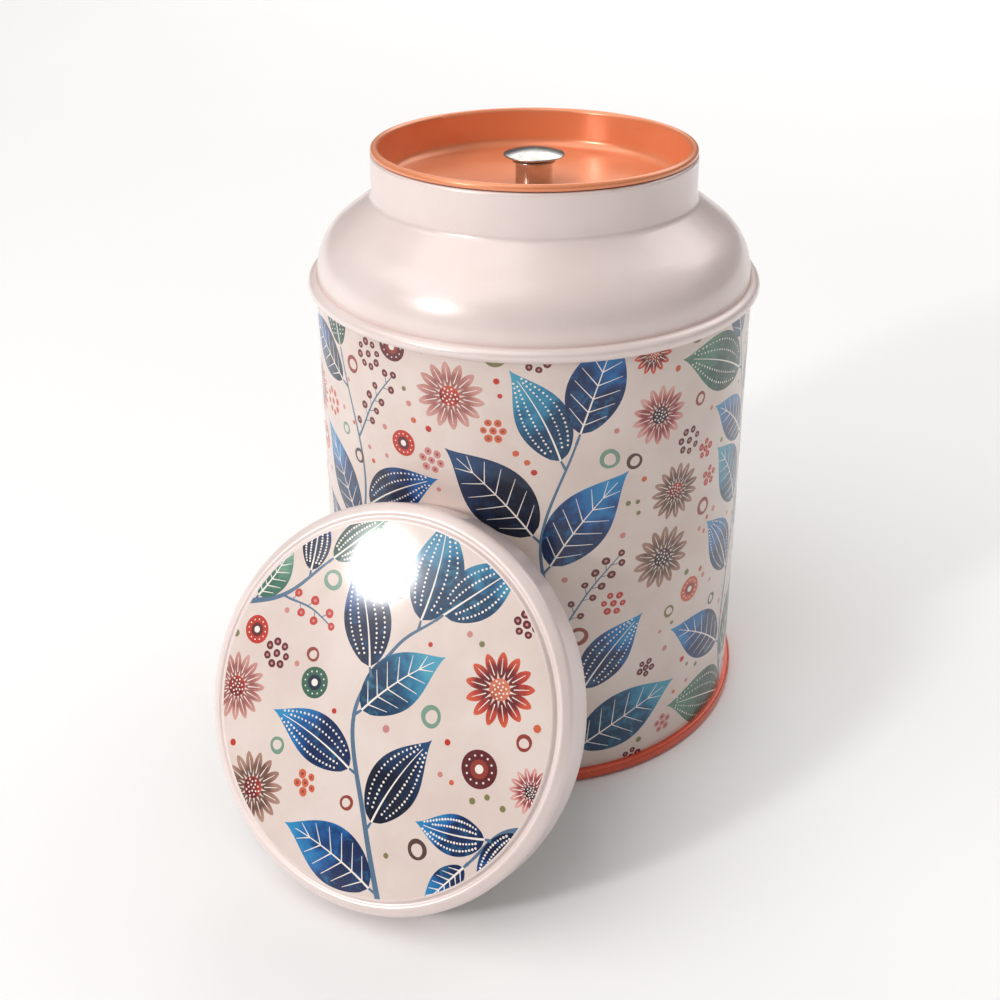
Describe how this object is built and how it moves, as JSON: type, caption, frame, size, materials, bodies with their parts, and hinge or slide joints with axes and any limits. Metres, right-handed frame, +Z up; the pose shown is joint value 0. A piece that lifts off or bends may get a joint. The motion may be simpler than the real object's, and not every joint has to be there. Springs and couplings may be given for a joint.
{
  "type": "storage tin",
  "caption": "Round tinplate storage tin with a printed wall, domed shoulder, push-in inner lid with a metal knob, and a separate cap lid leaning on the wall.",
  "frame": {"origin": "centre of the tin's bottom seam ring on the table plane", "axes": "+Z up along the tin's axis; -Y from the axis towards the leaning cap lid; +X to the right of the cap lid seen from in front of it; the wall's lock seam is at +Y"},
  "size_m": [0.1448, 0.2075, 0.1882],
  "materials": {
    "printed_tinplate": "gloss varnish over print",
    "coral_lacquer": "satin lacquer",
    "pearl_lacquer": "satin pearl lacquer",
    "knob_metal": "polished",
    "steel": "zinc plated"
  },
  "bodies": {
    "tin": {"side_wall": "printed_tinplate", "bottom_end": "coral_lacquer", "shoulder_neck": "pearl_lacquer"},
    "inner_lid": {"inner_lid_pan": "coral_lacquer", "knob": "knob_metal", "knob_washer": "steel", "knob_screw": "steel"},
    "cap_lid": {"cap_lid": "printed_tinplate"}
  },
  "joints": [
    {"name": "inner_lid_lift", "type": "slide", "parent": "tin", "child": "inner_lid", "axis": [0, 0, 1], "range_m": [0, 0.06]},
    {"name": "cap_lid_tip", "type": "hinge", "parent": "tin", "child": "cap_lid", "pos_m": [0, -0.12448, 0.0009], "axis": [1, 0, 0], "range_deg": [0, 29.5]}
  ]
}
